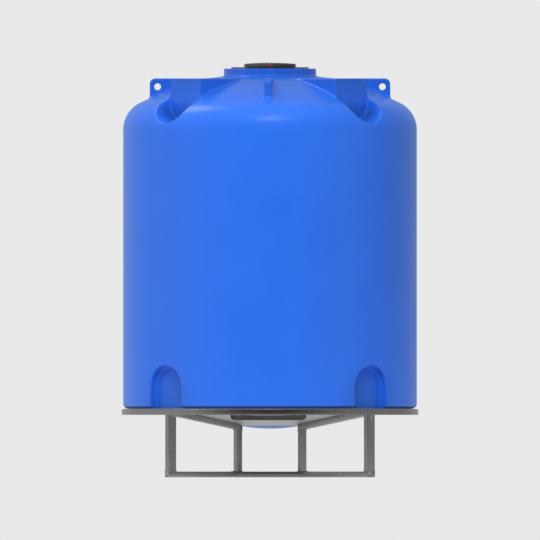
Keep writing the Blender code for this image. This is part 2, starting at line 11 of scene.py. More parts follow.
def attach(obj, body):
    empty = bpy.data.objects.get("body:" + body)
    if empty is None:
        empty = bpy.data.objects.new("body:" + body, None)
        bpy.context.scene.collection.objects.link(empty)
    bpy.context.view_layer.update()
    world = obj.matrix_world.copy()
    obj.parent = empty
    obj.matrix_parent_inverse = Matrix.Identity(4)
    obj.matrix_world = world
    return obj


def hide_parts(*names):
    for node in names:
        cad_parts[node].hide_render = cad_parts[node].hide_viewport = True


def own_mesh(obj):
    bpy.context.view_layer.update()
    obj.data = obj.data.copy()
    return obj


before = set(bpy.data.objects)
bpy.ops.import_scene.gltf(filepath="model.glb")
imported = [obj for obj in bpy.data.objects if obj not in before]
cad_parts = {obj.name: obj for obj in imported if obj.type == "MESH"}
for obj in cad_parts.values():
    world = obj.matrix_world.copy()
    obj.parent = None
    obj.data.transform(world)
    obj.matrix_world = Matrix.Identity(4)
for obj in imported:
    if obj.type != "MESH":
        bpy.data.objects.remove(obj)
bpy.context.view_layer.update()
scene = bpy.context.scene

UP = Vector((0.0, 0.0, 1.0))
GAP = 0.0003
FRAME_ANGLES = (45, 135, 225, 315)
SIDE_ANGLES = (0, 90, 180, 270)

# The stand, as the CAD has it
TUBE = 0.035
TUBE_WALL = 0.003
TUBE_CORNER = 0.0045
SOFT_EDGE = 0.0006  # chamfer of a cut steel edge
OUTER_LEG_RADIUS = 0.861
INNER_LEG_RADIUS = 0.2786
RING_RADIUS = 0.909
RING_TOP = 0.4173
RING_HEIGHT = 0.035
RING_WALL = 0.004
RING_FLANGE = 0.044
CONE_SLOPE = 0.155
PAN_APEX = 0.2835
PAN_SHEET = 0.003
PAN_HOLE_RADIUS = 0.212
PAN_LIP_RADIUS = 0.893
STIFFENER_DISTANCE = 0.620
STIFFENER_WIDTH = 0.466
STIFFENER_BOTTOM = 0.350
STIFFENER_CORNER = 0.026
STIFFENER_SHEET = 0.004
NOTCH_WIDTH = 0.030
NOTCH_DEPTH = 0.004

# The tank
TANK_RADIUS = 0.900
WALL = 0.009
CORNER_RADIUS = 0.028
APEX_RADIUS = 0.950
CROWN_RADIUS = 1.800
KNUCKLE_RADIUS = 0.180
KNUCKLE_HEIGHT = 2.132
NECK_RADIUS = 0.282
NECK_TOP = 2.505
MOUTH_RADIUS = 0.165
BLOCK_TOP = 2.445
RIB_HALF = 0.1335
RIB_END = 0.720
RIB_OVERLAP = 0.012
POCKET_HALF = 0.1345
POCKET_ARC_HEIGHT = 2.304
LUG_HALF = 0.0225
LUG_END = 0.737
LUG_CORNER = 0.034
LUG_HOLE_RADIUS = 0.021
LUG_HOLE_REACH = 0.689
LUG_HOLE_HEIGHT = 2.394
RECESS_HALF = 0.133
RECESS_ARC_HEIGHT = 0.553
RECESS_BACK = 0.839
EDGE_ROUND = 0.005  # outer edges of the moulding
INNER_ROUND = 0.012  # inner edges, where plastic gathers
NECK_ROUND = 0.011
NECK_EDGE_ROUND = 0.003
HOLE_ROUND = 0.006

# The neck flange and the lid
GASKET_THICKNESS = 0.002
GASKET_RADII = (0.170, 0.236)
FLANGE_RADIUS = 0.239
FLANGE_THICKNESS = 0.006
FLANGE_BORE = 0.1442
SLEEVE_RADIUS = 0.152
SLEEVE_DEPTH = 0.045
FLANGE_SCREWS = 8
SCREW_CIRCLE_RADIUS = 0.212
SCREW_RADIUS = 0.004
SCREW_HEAD_RADIUS = 0.008
SCREW_HEAD_DEPTH = 0.004
SCREW_LENGTH = 0.016
SEAL_THICKNESS = 0.0023
SEAL_RADII = (0.1455, 0.155)
LID_TOP = 2.541
LID_CROWN_RISE = 0.006
LID_CROWN_RADIUS = 0.151
LID_FLAT_RADIUS = 0.146
LID_FOOT_RADIUS = 0.162
LID_WALL = 0.004
LID_SKIRT_RADIUS = 0.1425
LID_SKIRT_DEPTH = 0.040
LID_GRIPS = 48
LID_FOOT_WALL = 0.006
THREAD_PITCH = 0.012

# The breather
BOSS_FACE = 0.1635
VENT_HEIGHT = 2.5255
BOSS_RADIUS = 0.0085
BOSS_LENGTH = 0.011
VENT_HOLE_RADIUS = 0.0060
VENT_CAP_RADIUS = 0.0095
VENT_CAP_LENGTH = 0.0085
VENT_CAP_WALL = 0.0012
SPRING_RADIUS = 0.0027
SPRING_WIRE_RADIUS = 0.00035
SPRING_TURNS = 6
SPRING_ENDS = (-0.0128, -0.0013)

CONE_ANGLE = atan(CONE_SLOPE)
SHEET_RISE = PAN_SHEET / cos(CONE_ANGLE)
TUBE_RISE = TUBE / cos(CONE_ANGLE)
TANK_APEX = PAN_APEX + SHEET_RISE + GAP
CORNER_CENTRE = TANK_RADIUS - CORNER_RADIUS
CORNER_HEIGHT = TANK_APEX + CONE_SLOPE * CORNER_CENTRE + CORNER_RADIUS / cos(CONE_ANGLE)
APEX_CENTRE_Z = TANK_APEX + APEX_RADIUS / cos(CONE_ANGLE)
KNUCKLE_CENTRE = TANK_RADIUS - KNUCKLE_RADIUS
CROWN_CENTRE_Z = KNUCKLE_HEIGHT - sqrt((CROWN_RADIUS - KNUCKLE_RADIUS) ** 2 - KNUCKLE_CENTRE**2)
KNUCKLE_TILT = atan2(KNUCKLE_HEIGHT - CROWN_CENTRE_Z, KNUCKLE_CENTRE)
INNER_END = INNER_LEG_RADIUS - TUBE / 2
OUTER_END = OUTER_LEG_RADIUS + TUBE / 2
TIE_OFFSET = (INNER_END + TUBE / 2) / sqrt(2) + TUBE / 2
GASKET_BOTTOM = NECK_TOP + GAP
FLANGE_BOTTOM = GASKET_BOTTOM + GASKET_THICKNESS + GAP
FLANGE_TOP = FLANGE_BOTTOM + FLANGE_THICKNESS
SEAL_BOTTOM = FLANGE_TOP + GAP
LID_RIM = SEAL_BOTTOM + SEAL_THICKNESS + GAP


# Materials


def preset(node, **values):
    """Fixed values for a node's sockets. In a socket's name, _ stands for a space."""
    for key, value in values.items():
        node.inputs[key.replace("_", " ")].default_value = value


class Nodes:
    """A material's node tree with short calls for the nodes used here."""

    def __init__(self, name):
        self.material = bpy.data.materials.new(name)
        self.material.use_nodes = True
        self.tree = self.material.node_tree
        self.shader = self.tree.nodes["Principled BSDF"]
        self.place = self.add("ShaderNodeTexCoord").outputs["Object"]

    def add(self, kind, **settings):
        node = self.tree.nodes.new(kind)
        for key, value in settings.items():
            setattr(node, key, value)
        return node

    def link(self, source, target):
        self.tree.links.new(source, target)

    def fill(self, socket, value):
        if hasattr(value, "node"):
            self.link(value, socket)
        else:
            socket.default_value = value

    def noise(self, scale, detail=2.0, stretch=None, roughness=0.5):
        node = self.add("ShaderNodeTexNoise")
        preset(node, Scale=scale, Detail=detail, Roughness=roughness)
        place = self.place
        if stretch:
            mapping = self.add("ShaderNodeMapping")
            preset(mapping, Scale=stretch)
            self.link(place, mapping.inputs["Vector"])
            place = mapping.outputs["Vector"]
        self.link(place, node.inputs["Vector"])
        return node.outputs["Fac"]

    def ranged(self, value, low, high, out_low=0.0, out_high=1.0):
        node = self.add("ShaderNodeMapRange")
        self.link(value, node.inputs["Value"])
        preset(node, From_Min=low, From_Max=high, To_Min=out_low, To_Max=out_high)
        return node.outputs["Result"]

    def math(self, operation, first, second):
        node = self.add("ShaderNodeMath", operation=operation)
        self.fill(node.inputs[0], first)
        self.fill(node.inputs[1], second)
        return node.outputs[0]

    def times(self, first, second):
        return self.math("MULTIPLY", first, second)

    def mix(self, factor, first, second):
        node = self.add("ShaderNodeMix", data_type="RGBA")
        self.fill(node.inputs[0], factor)
        for socket, colour in zip((node.inputs[6], node.inputs[7]), (first, second)):
            self.fill(socket, colour if hasattr(colour, "node") else (*colour, 1.0))
        return node.outputs[2]

    def height(self):
        node = self.add("ShaderNodeSeparateXYZ")
        self.link(self.place, node.inputs[0])
        return node.outputs["Z"]

    def bump(self, value, distance, under=None):
        node = self.add("ShaderNodeBump")
        preset(node, Distance=distance)
        self.link(value, node.inputs["Height"])
        if under:
            self.link(under, node.inputs["Normal"])
        return node.outputs["Normal"]

    def finish(self, colour, roughness, normal, metallic=0.0, **plain):
        self.link(colour, self.shader.inputs["Base Color"])
        self.fill(self.shader.inputs["Roughness"], roughness)
        self.link(normal, self.shader.inputs["Normal"])
        self.fill(self.shader.inputs["Metallic"], metallic)
        preset(self.shader, **plain)
        return self.material


# Where painted shade darkens the plastic in the pockets and the foot recesses, in the quarter with X and Y
# positive: centre, reach and depth
SHADE_SPOTS = (
    ((0.520, 0.520, 2.190), 0.15, 0.70),
    ((0.615, 0.440, 2.200), 0.12, 0.75),
    ((0.440, 0.615, 2.200), 0.12, 0.75),
    ((0.600, 0.600, 0.440), 0.27, 0.34),
)


def tank_plastic():
    """Rotomoulded polyethylene: orange peel, slow waves, blotches and scuffs, with painted shade on the
    top features, under the bottom and in the pockets and recesses.
    """
    n = Nodes("tank_polyethylene")
    blotches = n.ranged(n.noise(3.2, 4.0), 0.3, 0.7)
    grain = n.ranged(n.noise(420.0, 2.0), 0.35, 0.65)
    scuffs = n.ranged(n.noise(9.0, 6.0, (1.0, 1.0, 0.16), 0.7), 0.60, 0.80)
    colour = n.mix(blotches, (0.027, 0.174, 0.890), (0.031, 0.187, 0.930))
    colour = n.mix(n.times(grain, 0.10), colour, (0.042, 0.190, 0.900))
    colour = n.mix(n.times(scuffs, 0.16), colour, (0.075, 0.215, 0.850))
    # Painted shade: darker towards the top among the lugs, ribs and neck, darker below the bottom corner,
    # and darker in the pockets and foot recesses
    painted_shade = n.math("MAXIMUM", n.ranged(n.height(), 2.24, 2.45, 0.0, 0.45),
                   n.ranged(n.height(), 0.429, 0.441, 0.55, 0.0))
    quarter = n.add("ShaderNodeVectorMath", operation="ABSOLUTE")
    n.link(n.place, quarter.inputs[0])
    for centre, reach, depth in SHADE_SPOTS:
        apart = n.add("ShaderNodeVectorMath", operation="DISTANCE")
        n.link(quarter.outputs[0], apart.inputs[0])
        apart.inputs[1].default_value = centre
        spot = n.ranged(apart.outputs["Value"], 0.35 * reach, reach, depth, 0.0)
        painted_shade = n.math("MAXIMUM", painted_shade, spot)
    colour = n.mix(painted_shade, colour, (0.010, 0.070, 0.330))
    roughness = n.math("ADD", n.ranged(blotches, 0.0, 1.0, 0.29, 0.34), n.times(scuffs, 0.08))
    waves = n.bump(n.noise(2.6, 1.0), 0.0035)
    peel = n.bump(n.noise(240.0, 1.5), 0.00016, under=waves)
    return n.finish(colour, roughness, peel, Specular_IOR_Level=0.34, Sheen_Weight=0.36,
                    Sheen_Roughness=0.40, Sheen_Tint=(0.10, 0.36, 1.0, 1.0))


def coated_steel(name, dark, light, rough, metallic, dust):
    """Coated steel: brushed mottling, small pits, rub marks and settled dust."""
    n = Nodes(name)
    mottle = n.ranged(n.noise(38.0, 5.0, roughness=0.65), 0.3, 0.7)
    large = n.ranged(n.noise(5.0, 3.0), 0.35, 0.65)
    pits = n.ranged(n.noise(900.0, 2.0), 0.30, 0.70)
    rubs = n.ranged(n.noise(60.0, 8.0, (1.0, 1.0, 0.3), 0.75), 0.62, 0.75)
    colour = n.mix(n.times(n.math("ADD", mottle, large), 0.5), dark, light)
    colour = n.mix(n.times(rubs, 0.16), colour, dust)
    roughness = n.ranged(mottle, 0.0, 1.0, rough - 0.03, rough + 0.03)
    roughness = n.math("ADD", roughness, n.times(rubs, 0.06))
    waves = n.bump(n.noise(16.0, 2.0), 0.0003)
    normal = n.bump(pits, 0.00003, under=waves)
    return n.finish(colour, roughness, normal, metallic)


def moulded(name, dark, light, rough, grain_scale, grain):
    """Injection-moulded plastic or rubber with a fine texture and slight blotches."""
    n = Nodes(name)
    blotches = n.ranged(n.noise(45.0, 4.0), 0.3, 0.7)
    marks = n.ranged(n.noise(130.0, 7.0, (1.0, 0.35, 1.0), 0.7), 0.62, 0.78)
    colour = n.mix(blotches, dark, light)
    colour = n.mix(n.times(marks, 0.20), colour, tuple(0.04 + 0.9 * c for c in light))
    roughness = n.ranged(blotches, 0.0, 1.0, rough - 0.04, rough + 0.06)
    return n.finish(colour, roughness, n.bump(n.noise(grain_scale, 2.0), grain))


def zinc():
    """Bright zinc plating with fine turning marks."""
    n = Nodes("zinc_plating")
    blotches = n.ranged(n.noise(300.0, 3.0), 0.3, 0.7)
    marks = n.noise(1500.0, 3.0, (1.0, 1.0, 0.15))
    colour = n.mix(blotches, (0.50, 0.50, 0.47), (0.68, 0.67, 0.62))
    return n.finish(colour, n.ranged(blotches, 0.0, 1.0, 0.26, 0.40), n.bump(marks, 0.00003), 1.0)


FINISHES = {
    "tank_plastic": tank_plastic(),
    "frame_steel": coated_steel(
        "frame_coating", (0.29, 0.29, 0.285), (0.34, 0.34, 0.33), 0.24, 1.0, (0.40, 0.39, 0.375)),
    "pan_sheet": coated_steel(
        "sheet_steel", (0.50, 0.51, 0.49), (0.62, 0.63, 0.60), 0.42, 0.55, (0.70, 0.69, 0.66)),
    "black_plastic": moulded(
        "black_moulding", (0.021, 0.022, 0.022), (0.032, 0.033, 0.033), 0.42, 700.0, 0.00006),
    "black_rubber": moulded(
        "black_rubber", (0.014, 0.014, 0.014), (0.024, 0.024, 0.024), 0.72, 900.0, 0.00010),
    "red_plastic": moulded(
        "red_moulding", (0.42, 0.020, 0.030), (0.52, 0.030, 0.038), 0.36, 1100.0, 0.00004),
    "zinc_steel": zinc(),
}


# Mesh tools


def in_scene(name, data):
    made = bpy.data.objects.new(name, data)
    scene.collection.objects.link(made)
    return made


def piece(name, mesh, slot, body, nodes, sharp=32):
    """A visible piece: its finish, its body and the CAD nodes that it stands for."""
    made = in_scene(name, mesh)
    mesh.materials.clear()
    mesh.materials.append(FINISHES[slot])
    mesh.shade_smooth()
    if sharp:
        mesh.set_sharp_from_angle(angle=radians(sharp))
    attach(made, body)
    if nodes:
        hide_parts(*nodes)
    return made


def mesh_from(name, points, faces):
    mesh = bpy.data.meshes.new(name)
    mesh.from_pydata([tuple(p) for p in points], [], [tuple(f) for f in faces])
    shape = bmesh.new()
    shape.from_mesh(mesh)
    bmesh.ops.remove_doubles(shape, verts=shape.verts, dist=1e-6)
    bmesh.ops.dissolve_degenerate(shape, edges=shape.edges, dist=1e-6)
    bmesh.ops.recalc_face_normals(shape, faces=shape.faces)
    shape.to_mesh(mesh)
    shape.free()
    return mesh


def stacked(name, rings, capped=True):
    """A surface through rings of one point count, with capped ends or closed on itself."""
    count = len(rings[0])
    total = count * len(rings)
    faces = []
    for k in range(len(rings) - capped):
        a, b = k * count, (k + 1) * count % total
        for i in range(count):
            n = (i + 1) % count
            faces.append((a + i, a + n, b + n, b + i))
    if capped:
        faces += [tuple(range(count)), tuple(range(total - count, total))]
    return mesh_from(name, [point for ring in rings for point in ring], faces)


def joined(name, meshes):
    shape = bmesh.new()
    for mesh in meshes:
        shape.from_mesh(mesh)
        bpy.data.meshes.remove(mesh)
    made = bpy.data.meshes.new(name)
    shape.to_mesh(made)
    shape.free()
    return made


def softened(profile, radii, steps=4, closed=True):
    """The profile with its corners rounded. A radius of 0 keeps a corner."""
    count = len(profile)
    result = []
    for i, (here, radius) in enumerate(zip(profile, radii)):
        if not radius or (not closed and i in (0, count - 1)):
            result.append(tuple(here))
            continue
        point = Vector(here)
        back = Vector(profile[i - 1]) - point
        ahead = Vector(profile[(i + 1) % count]) - point
        room = min(back.length, ahead.length) * 0.49
        half = back.angle(ahead) / 2
        reach = min(radius / max(sin(half) / cos(half), 1e-6), room)
        start = point + back.normalized() * reach
        end = point + ahead.normalized() * reach
        for k in range(steps + 1):
            t = k / steps
            mixed = start * (1 - t) ** 2 + point * 2 * t * (1 - t) + end * t**2
            result.append((mixed.x, mixed.y))
    return result


def lathe(name, profile, steps, closed=True, place=None, wave=None):
    """The profile of radius and height turned about Z. wave changes a radius by its angle."""
    points, faces = [], []
    count = len(profile)
    for i in range(steps):
        angle = tau * i / steps
        for radius, height in profile:
            reach = wave(radius, height, angle) if wave and radius else radius
            points.append((reach * cos(angle), reach * sin(angle), height))
        a, b = i * count, (i + 1) % steps * count
        for k in range(count if closed else count - 1):
            n = (k + 1) % count
            faces.append((a + k, b + k, b + n, a + n))
    mesh = mesh_from(name, points, faces)
    if place:
        mesh.transform(place)
    return mesh


def final_mesh(thing):
    """The object's mesh with its modifiers or its curve's thickness."""
    bpy.context.view_layer.update()
    return bpy.data.meshes.new_from_object(thing.evaluated_get(bpy.context.evaluated_depsgraph_get()))


def cut(mesh, cutters, operation="DIFFERENCE"):
    """The mesh with a Boolean applied. Meshes are used up."""
    body, tool = in_scene("cut_body", mesh), in_scene("cut_tool", cutters)
    change = body.modifiers.new("cut", "BOOLEAN")
    change.operation = operation
    change.solver = "EXACT"
    change.object = tool
    made = final_mesh(body)
    for thing in (body, tool):
        used = thing.data
        bpy.data.objects.remove(thing)
        bpy.data.meshes.remove(used)
    return made


def direction(angle):
    return Vector((cos(radians(angle)), sin(radians(angle)), 0.0))


def rod(name, radius, low, high, steps, place):
    """A round bar along local Z."""
    return lathe(name, [(0.0, high), (radius, high), (radius, low), (0.0, low)], steps, False, place)


def placed(origin, x_axis, z_axis):
    """A place whose local X and Z lie along the given world directions."""
    turn = Matrix((x_axis, z_axis.cross(x_axis), z_axis)).transposed().to_4x4()
    return Matrix.Translation(origin) @ turn


def facing(angle, distance):
    """Local X across, local Y up and local Z outwards, at a distance from the tank's axis."""
    outward = direction(angle)
    return placed(outward * distance, UP.cross(outward), outward)


def spaced(start, *spans):
    """Values from start on, through spans that each have an end and a step."""
    values = [start]
    for end, step in spans:
        count = max(1, round((end - start) / step))
        values += [start + (end - start) * i / count for i in range(1, count + 1)]
        start = end
    return np.array(values)


# The tank's skin is the zero level of a distance field, so that each edge has its own rounding.
# a and b are distances, negative inside.


def beyond(a, b):
    return np.hypot(np.maximum(a, 0), np.maximum(b, 0))


def round_union(a, b, k):
    return np.maximum(k, np.minimum(a, b)) - beyond(k - a, k - b)


def round_both(a, b, k):
    return np.minimum(-k, np.maximum(a, b)) + beyond(k + a, k + b)


def folded(theta, radius):
    """The eighth between a lug, on X, and a rib: X, Y, and the same along and across the rib."""
    phi = np.abs((theta + pi / 4) % (pi / 2) - pi / 4)
    x, y = radius * np.cos(phi), radius * np.sin(phi)
    return x, y, (x + y) / sqrt(2), (x - y) / sqrt(2)


def body_field(radius, z):
    crown = np.hypot(radius, z - CROWN_CENTRE_Z) - CROWN_RADIUS
    knuckle = np.hypot(radius - KNUCKLE_CENTRE, z - KNUCKLE_HEIGHT) - KNUCKLE_RADIUS
    corner = np.hypot(radius - CORNER_CENTRE, z - CORNER_HEIGHT) - CORNER_RADIUS
    cone = (TANK_APEX + CONE_SLOPE * radius - z) * cos(CONE_ANGLE)
    on_crown = np.arctan2(z - CROWN_CENTRE_Z, radius) > KNUCKLE_TILT
    on_cone = (radius - CORNER_CENTRE) < (CORNER_HEIGHT - z) * CONE_SLOPE
    top = np.where(on_crown, crown, knuckle)
    foot = np.where(on_cone, cone, corner)
    middle = radius - TANK_RADIUS
    return np.where(z > KNUCKLE_HEIGHT, top, np.where(z < CORNER_HEIGHT, foot, middle))


def top_field(theta, radius, z, lugs=True):
    x, y, along, across = folded(theta, radius)
    neck = round_both(radius - NECK_RADIUS, z - NECK_TOP, NECK_EDGE_ROUND)
    rib = round_both(across - RIB_HALF, z - BLOCK_TOP, EDGE_ROUND)
    rib = round_both(rib, along - RIB_END - RIB_OVERLAP, 0.002)
    below = np.hypot(across, z - POCKET_ARC_HEIGHT)
    slot = np.where(z > POCKET_ARC_HEIGHT, across, below) - POCKET_HALF
    pocket = round_both(RIB_END - along, slot, INNER_ROUND)
    solid = round_union(body_field(radius, z), neck, NECK_ROUND)
    solid = round_union(solid, rib, INNER_ROUND)
    solid = round_both(solid, -pocket, EDGE_ROUND)
    if not lugs:
        return solid + WALL
    qx, qz = x - LUG_END + LUG_CORNER, z - BLOCK_TOP + LUG_CORNER
    plate = beyond(qx, qz) + np.minimum(np.maximum(qx, qz), 0) - LUG_CORNER
    hole = np.hypot(x - LUG_HOLE_REACH, z - LUG_HOLE_HEIGHT) - LUG_HOLE_RADIUS
    lug = round_both(plate, y - LUG_HALF, EDGE_ROUND)
    lug = round_both(lug, -hole, HOLE_ROUND)
    return round_union(solid, lug, INNER_ROUND)


def foot_field(theta, radius, z, outer=True):
    along, across = folded(theta, radius)[2:]
    above = np.hypot(across, z - RECESS_ARC_HEIGHT)
    slot = np.where(z < RECESS_ARC_HEIGHT, across, above) - RECESS_HALF
    recess = round_both(RECESS_BACK - along, slot, INNER_ROUND)
    solid = round_both(body_field(radius, z), -recess, EDGE_ROUND)
    return solid if outer else solid + WALL


class Skin:
    """Points and faces gathered from several nets and bands."""

    def __init__(self):
        self.points = np.zeros((0, 3))
        self.faces = []

    def add_points(self, points):
        start = len(self.points)
        self.points = np.vstack((self.points, points))
        return np.arange(start, start + len(points))

    def net(self, field, angles, radii, heights):
        """A surface net of the field's zero level. Returns the index of each cell's point."""
        shape = (len(angles), len(radii), len(heights))
        turn = np.append(angles, angles[0] + tau)
        grid = np.meshgrid(turn, radii, heights, indexing="ij")
        value = field(*grid)
        total = np.zeros((3, shape[0], shape[1] - 1, shape[2] - 1))
        count = np.zeros(total.shape[1:])

        def part(array, at):
            ends = (shape[0] + at[0], shape[1] - 1 + at[1], shape[2] - 1 + at[2])
            return array[at[0]:ends[0], at[1]:ends[1], at[2]:ends[2]]

        for at in np.ndindex(2, 2, 2):
            for axis in (k for k in range(3) if not at[k]):
                to = tuple(1 if k == axis else at[k] for k in range(3))
                first, second = part(value, at), part(value, to)
                crossing = (first < 0) != (second < 0)
                share = np.where(crossing, first / np.where(crossing, first - second, 1.0), 0.0)
                count += crossing
                for k in range(3):
                    low, high = part(grid[k], at), part(grid[k], to)
                    total[k] += np.where(crossing, low + share * (high - low), 0.0)
        active = count > 0
        angle, radius, z = (total[k][active] / count[active] for k in range(3))
        points = np.stack((radius * np.cos(angle), radius * np.sin(angle), z), axis=1)
        for _ in range(4):
            points = points - self.step(field, points)
        index = np.full(active.shape, -1)
        index[active] = self.add_points(points)
        inside = value[:-1] < 0
        ahead = np.roll(inside, -1, axis=0)
        before = np.roll(index, 1, axis=0)
        self.quads(inside[:, 1:-1, 1:-1] != ahead[:, 1:-1, 1:-1], index[:, :-1, :-1], index[:, 1:, :-1],
                   index[:, 1:, 1:], index[:, :-1, 1:])
        self.quads(inside[:, :-1, 1:-1] != inside[:, 1:, 1:-1], before[:, :, :-1], index[:, :, :-1],
                   index[:, :, 1:], before[:, :, 1:])
        self.quads(inside[:, 1:-1, :-1] != inside[:, 1:-1, 1:], before[:, :-1], index[:, :-1],
                   index[:, 1:], before[:, 1:])
        return index

    def quads(self, where, *corners):
        self.faces += np.stack([c[where] for c in corners], axis=1).tolist()

    def step(self, field, points):
        """How far each point lies from the zero level, as a vector."""
        def at(p):
            return field(np.arctan2(p[:, 1], p[:, 0]), np.hypot(p[:, 0], p[:, 1]), p[:, 2])

        small = 0.00005
        offsets = np.eye(3) * small
        slope = np.stack([(at(points + o) - at(points - o)) / (2 * small) for o in offsets], axis=1)
        steep = np.maximum((slope**2).sum(axis=1), 0.25)
        move = slope * (at(points) / steep)[:, None]
        length = np.linalg.norm(move, axis=1)[:, None]
        return move * np.minimum(1.0, 0.004 / np.maximum(length, 1e-9))

    def loop(self, cells):
        """The one point in each angle's row of boundary cells."""
        return np.array([row[row >= 0][0] for row in cells])

    def band(self, first, second):
        """Faces between two loops that run the same way round. Their counts may differ."""
        if len(first) == len(second):
            quads = np.stack((first, np.roll(first, -1), np.roll(second, -1), second), axis=1)
            self.faces += quads.tolist()
            return
        angle = [np.unwrap(np.arctan2(self.points[l, 1], self.points[l, 0])) for l in (first, second)]
        i = j = 0
        while i < len(first) or j < len(second):
            next_i = angle[0][i + 1] if i + 1 < len(first) else angle[0][0] + tau
            next_j = angle[1][j + 1] if j + 1 < len(second) else angle[1][0] + tau
            a, b = first[i % len(first)], second[j % len(second)]
            if j >= len(second) or (i < len(first) and next_i <= next_j):
                i += 1
                self.faces.append([a, first[i % len(first)], b])
            else:
                j += 1
                self.faces.append([a, second[j % len(second)], b])

    def rows(self, loop, profile):
        """Bands from a loop along a profile of radius and height. Returns the last loop."""
        angle = np.arctan2(self.points[loop, 1], self.points[loop, 0])
        for radius, z in profile:
            level = np.full(len(angle), z)
            ring = np.stack((radius * np.cos(angle), radius * np.sin(angle), level), axis=1)
            new = self.add_points(ring)
            self.band(loop, new)
            loop = new
        return loop

    def straight(self, first, second, count):
        """Bands in a straight line between two loops of one count."""
        a, b = self.points[first], self.points[second]
        last = first
        for i in range(1, count):
            new = self.add_points(a + (b - a) * i / count)
            self.band(last, new)
            last = new
        self.band(last, second)

    def tip(self, loop, z):
        top = self.add_points(np.array([[0.0, 0.0, z]]))[0]
        self.faces += [[a, b, top] for a, b in zip(loop, np.roll(loop, -1))]


def all_round(eighth):
    """The angles of one eighth, in degrees, mirrored and repeated all the way round."""
    one = np.concatenate((eighth, 90 - eighth[-2:0:-1]))
    return np.radians(np.concatenate([one + 90 * k for k in range(4)]))


def cone_profile(inset, start):
    """Radius and height down the tank's bottom from a radius to just short of the apex."""
    reach = APEX_RADIUS - inset
    radii = np.linspace(start, reach * sin(CONE_ANGLE), 7)
    result = [(r, TANK_APEX + CONE_SLOPE * r + inset / cos(CONE_ANGLE)) for r in radii]
    for share in (0.75, 0.5, 0.25):
        a = CONE_ANGLE * share
        result.append((reach * sin(a), APEX_CENTRE_Z - reach * cos(a)))
    return result


def tank_skin():
    """The hollow moulding: an outer and an inner skin, joined round the mouth."""
    skin = Skin()
    loops = []
    for outer in (True, False):
        if outer:
            eighth = spaced(0, (4, 0.57), (24, 2.5), (38, 0.61), (45, 1.4))
            radii = spaced(0.200, (0.264, 0.016), (0.310, 0.006), (0.660, 0.014), (0.760, 0.006),
                           (0.916, 0.008))
            heights = spaced(2.060, (2.140, 0.020), (2.460, 0.007), (2.520, 0.006))
            foot_radii = spaced(0.780, (0.816, 0.012), (0.916, 0.007))
            foot_heights = spaced(0.372, (0.460, 0.006), (0.700, 0.009), (0.760, 0.020))
        else:
            eighth = spaced(0, (24, 4.0), (38, 1.4), (45, 3.5))
            radii = spaced(0.200, (0.264, 0.016), (0.310, 0.011), (0.660, 0.035), (0.916, 0.015))
            heights = spaced(2.060, (2.140, 0.040), (2.460, 0.016), (2.520, 0.010))
            foot_radii = spaced(0.760, (0.916, 0.013))
            foot_heights = spaced(0.372, (0.700, 0.015), (0.760, 0.030))
        angles = all_round(eighth)
        top = skin.net(lambda t, r, z: top_field(t, r, z, outer), angles, radii, heights)
        foot = skin.net(lambda t, r, z: foot_field(t, r, z, outer), angles, foot_radii, foot_heights)
        loops.append(skin.loop(top[:, 0, :]))
        skin.straight(skin.loop(top[:, :, 0]), skin.loop(foot[:, :, -1]), 8)
        low = skin.loop(foot[:, 0, :])
        start = hypot(*skin.points[low[0], :2])
        bottom = cone_profile(0.0 if outer else WALL, start)
        last = skin.rows(low, bottom[1:])
        skin.tip(last, APEX_CENTRE_Z - APEX_RADIUS + (0.0 if outer else WALL))
    edge = 0.002
    mouth = [(0.182, NECK_TOP), (MOUTH_RADIUS + edge, NECK_TOP), (MOUTH_RADIUS, NECK_TOP - edge),
             (MOUTH_RADIUS, NECK_TOP - WALL + edge), (MOUTH_RADIUS + edge, NECK_TOP - WALL)]
    skin.band(skin.rows(loops[0], mouth), loops[1])
    return mesh_from("tank_skin", skin.points, skin.faces)


piece("tank_skin", tank_skin(), "tank_plastic", "tank", ["tank_shell"], sharp=0)


# The stand


def square(side, corner, steps=5):
    """A square loop with rounded corners."""
    half = side / 2 - corner
    points = []
    for k, (x, y) in enumerate(((half, half), (-half, half), (-half, -half), (half, -half))):
        for i in range(steps + 1):
            a = (k + i / steps) * pi / 2
            points.append((x + corner * cos(a), y + corner * sin(a)))
    return points


def tube_mesh(name, length, place, start_slope=0.0, end_slope=0.0, rings=2):
    """A square tube along local Z. A slope tips an end's cut along local X."""
    outer, inner = square(TUBE, TUBE_CORNER), square(TUBE - 2 * TUBE_WALL, TUBE_CORNER - TUBE_WALL)

    def ring(loop, z, slope, shrink=1.0):
        return [(x * shrink, y * shrink, z + slope * x * shrink) for x, y in loop]

    inwards = 1 - 2 * SOFT_EDGE / TUBE
    loops = [ring(outer, 0.0, start_slope, inwards)]
    for i in range(rings + 1):
        share = i / rings
        z = SOFT_EDGE + (length - 2 * SOFT_EDGE) * share
        loops.append(ring(outer, z, start_slope + (end_slope - start_slope) * share))
    loops.append(ring(outer, length, end_slope, inwards))
    loops += [ring(inner, length, end_slope), ring(inner, 0.0, start_slope)]
    mesh = stacked(name, loops, capped=False)
    mesh.transform(place)
    return mesh


def end_plate(place):
    """A pressed plate let into a tube's end, its rim buried a little in the wall."""
    outline = square(TUBE - 2 * TUBE_WALL + 0.0008, TUBE_CORNER - TUBE_WALL)
    steps = ((-0.0034, 1.0), (-0.0012, 1.0), (-0.0006, 0.97), (-0.0006, 0.80), (-0.0010, 0.72))
    mesh = stacked("end_plate", [[(x * share, y * share, z) for x, y in outline] for z, share in steps])
    mesh.transform(place)
    return mesh


def bead(points, radius=0.0028, closed=True, seed=0):
    """A weld bead along a path, with the ripples of a welder's steps."""
    path = [Vector(p) for p in points]
    if closed:
        path.append(path[0])
    dense = []
    for a, b in zip(path, path[1:]):
        count = max(2, round((b - a).length / 0.0022))
        dense += [a.lerp(b, i / count) for i in range(count)]
    if not closed:
        dense.append(path[-1])
    swell = []
    for i in range(len(dense)):
        swell.append(1.0 + 0.16 * sin(i * 1.9 + seed) + 0.07 * sin(i * 0.37 + 2.1 * seed))
    return wire("bead", dense, radius, closed, swell)


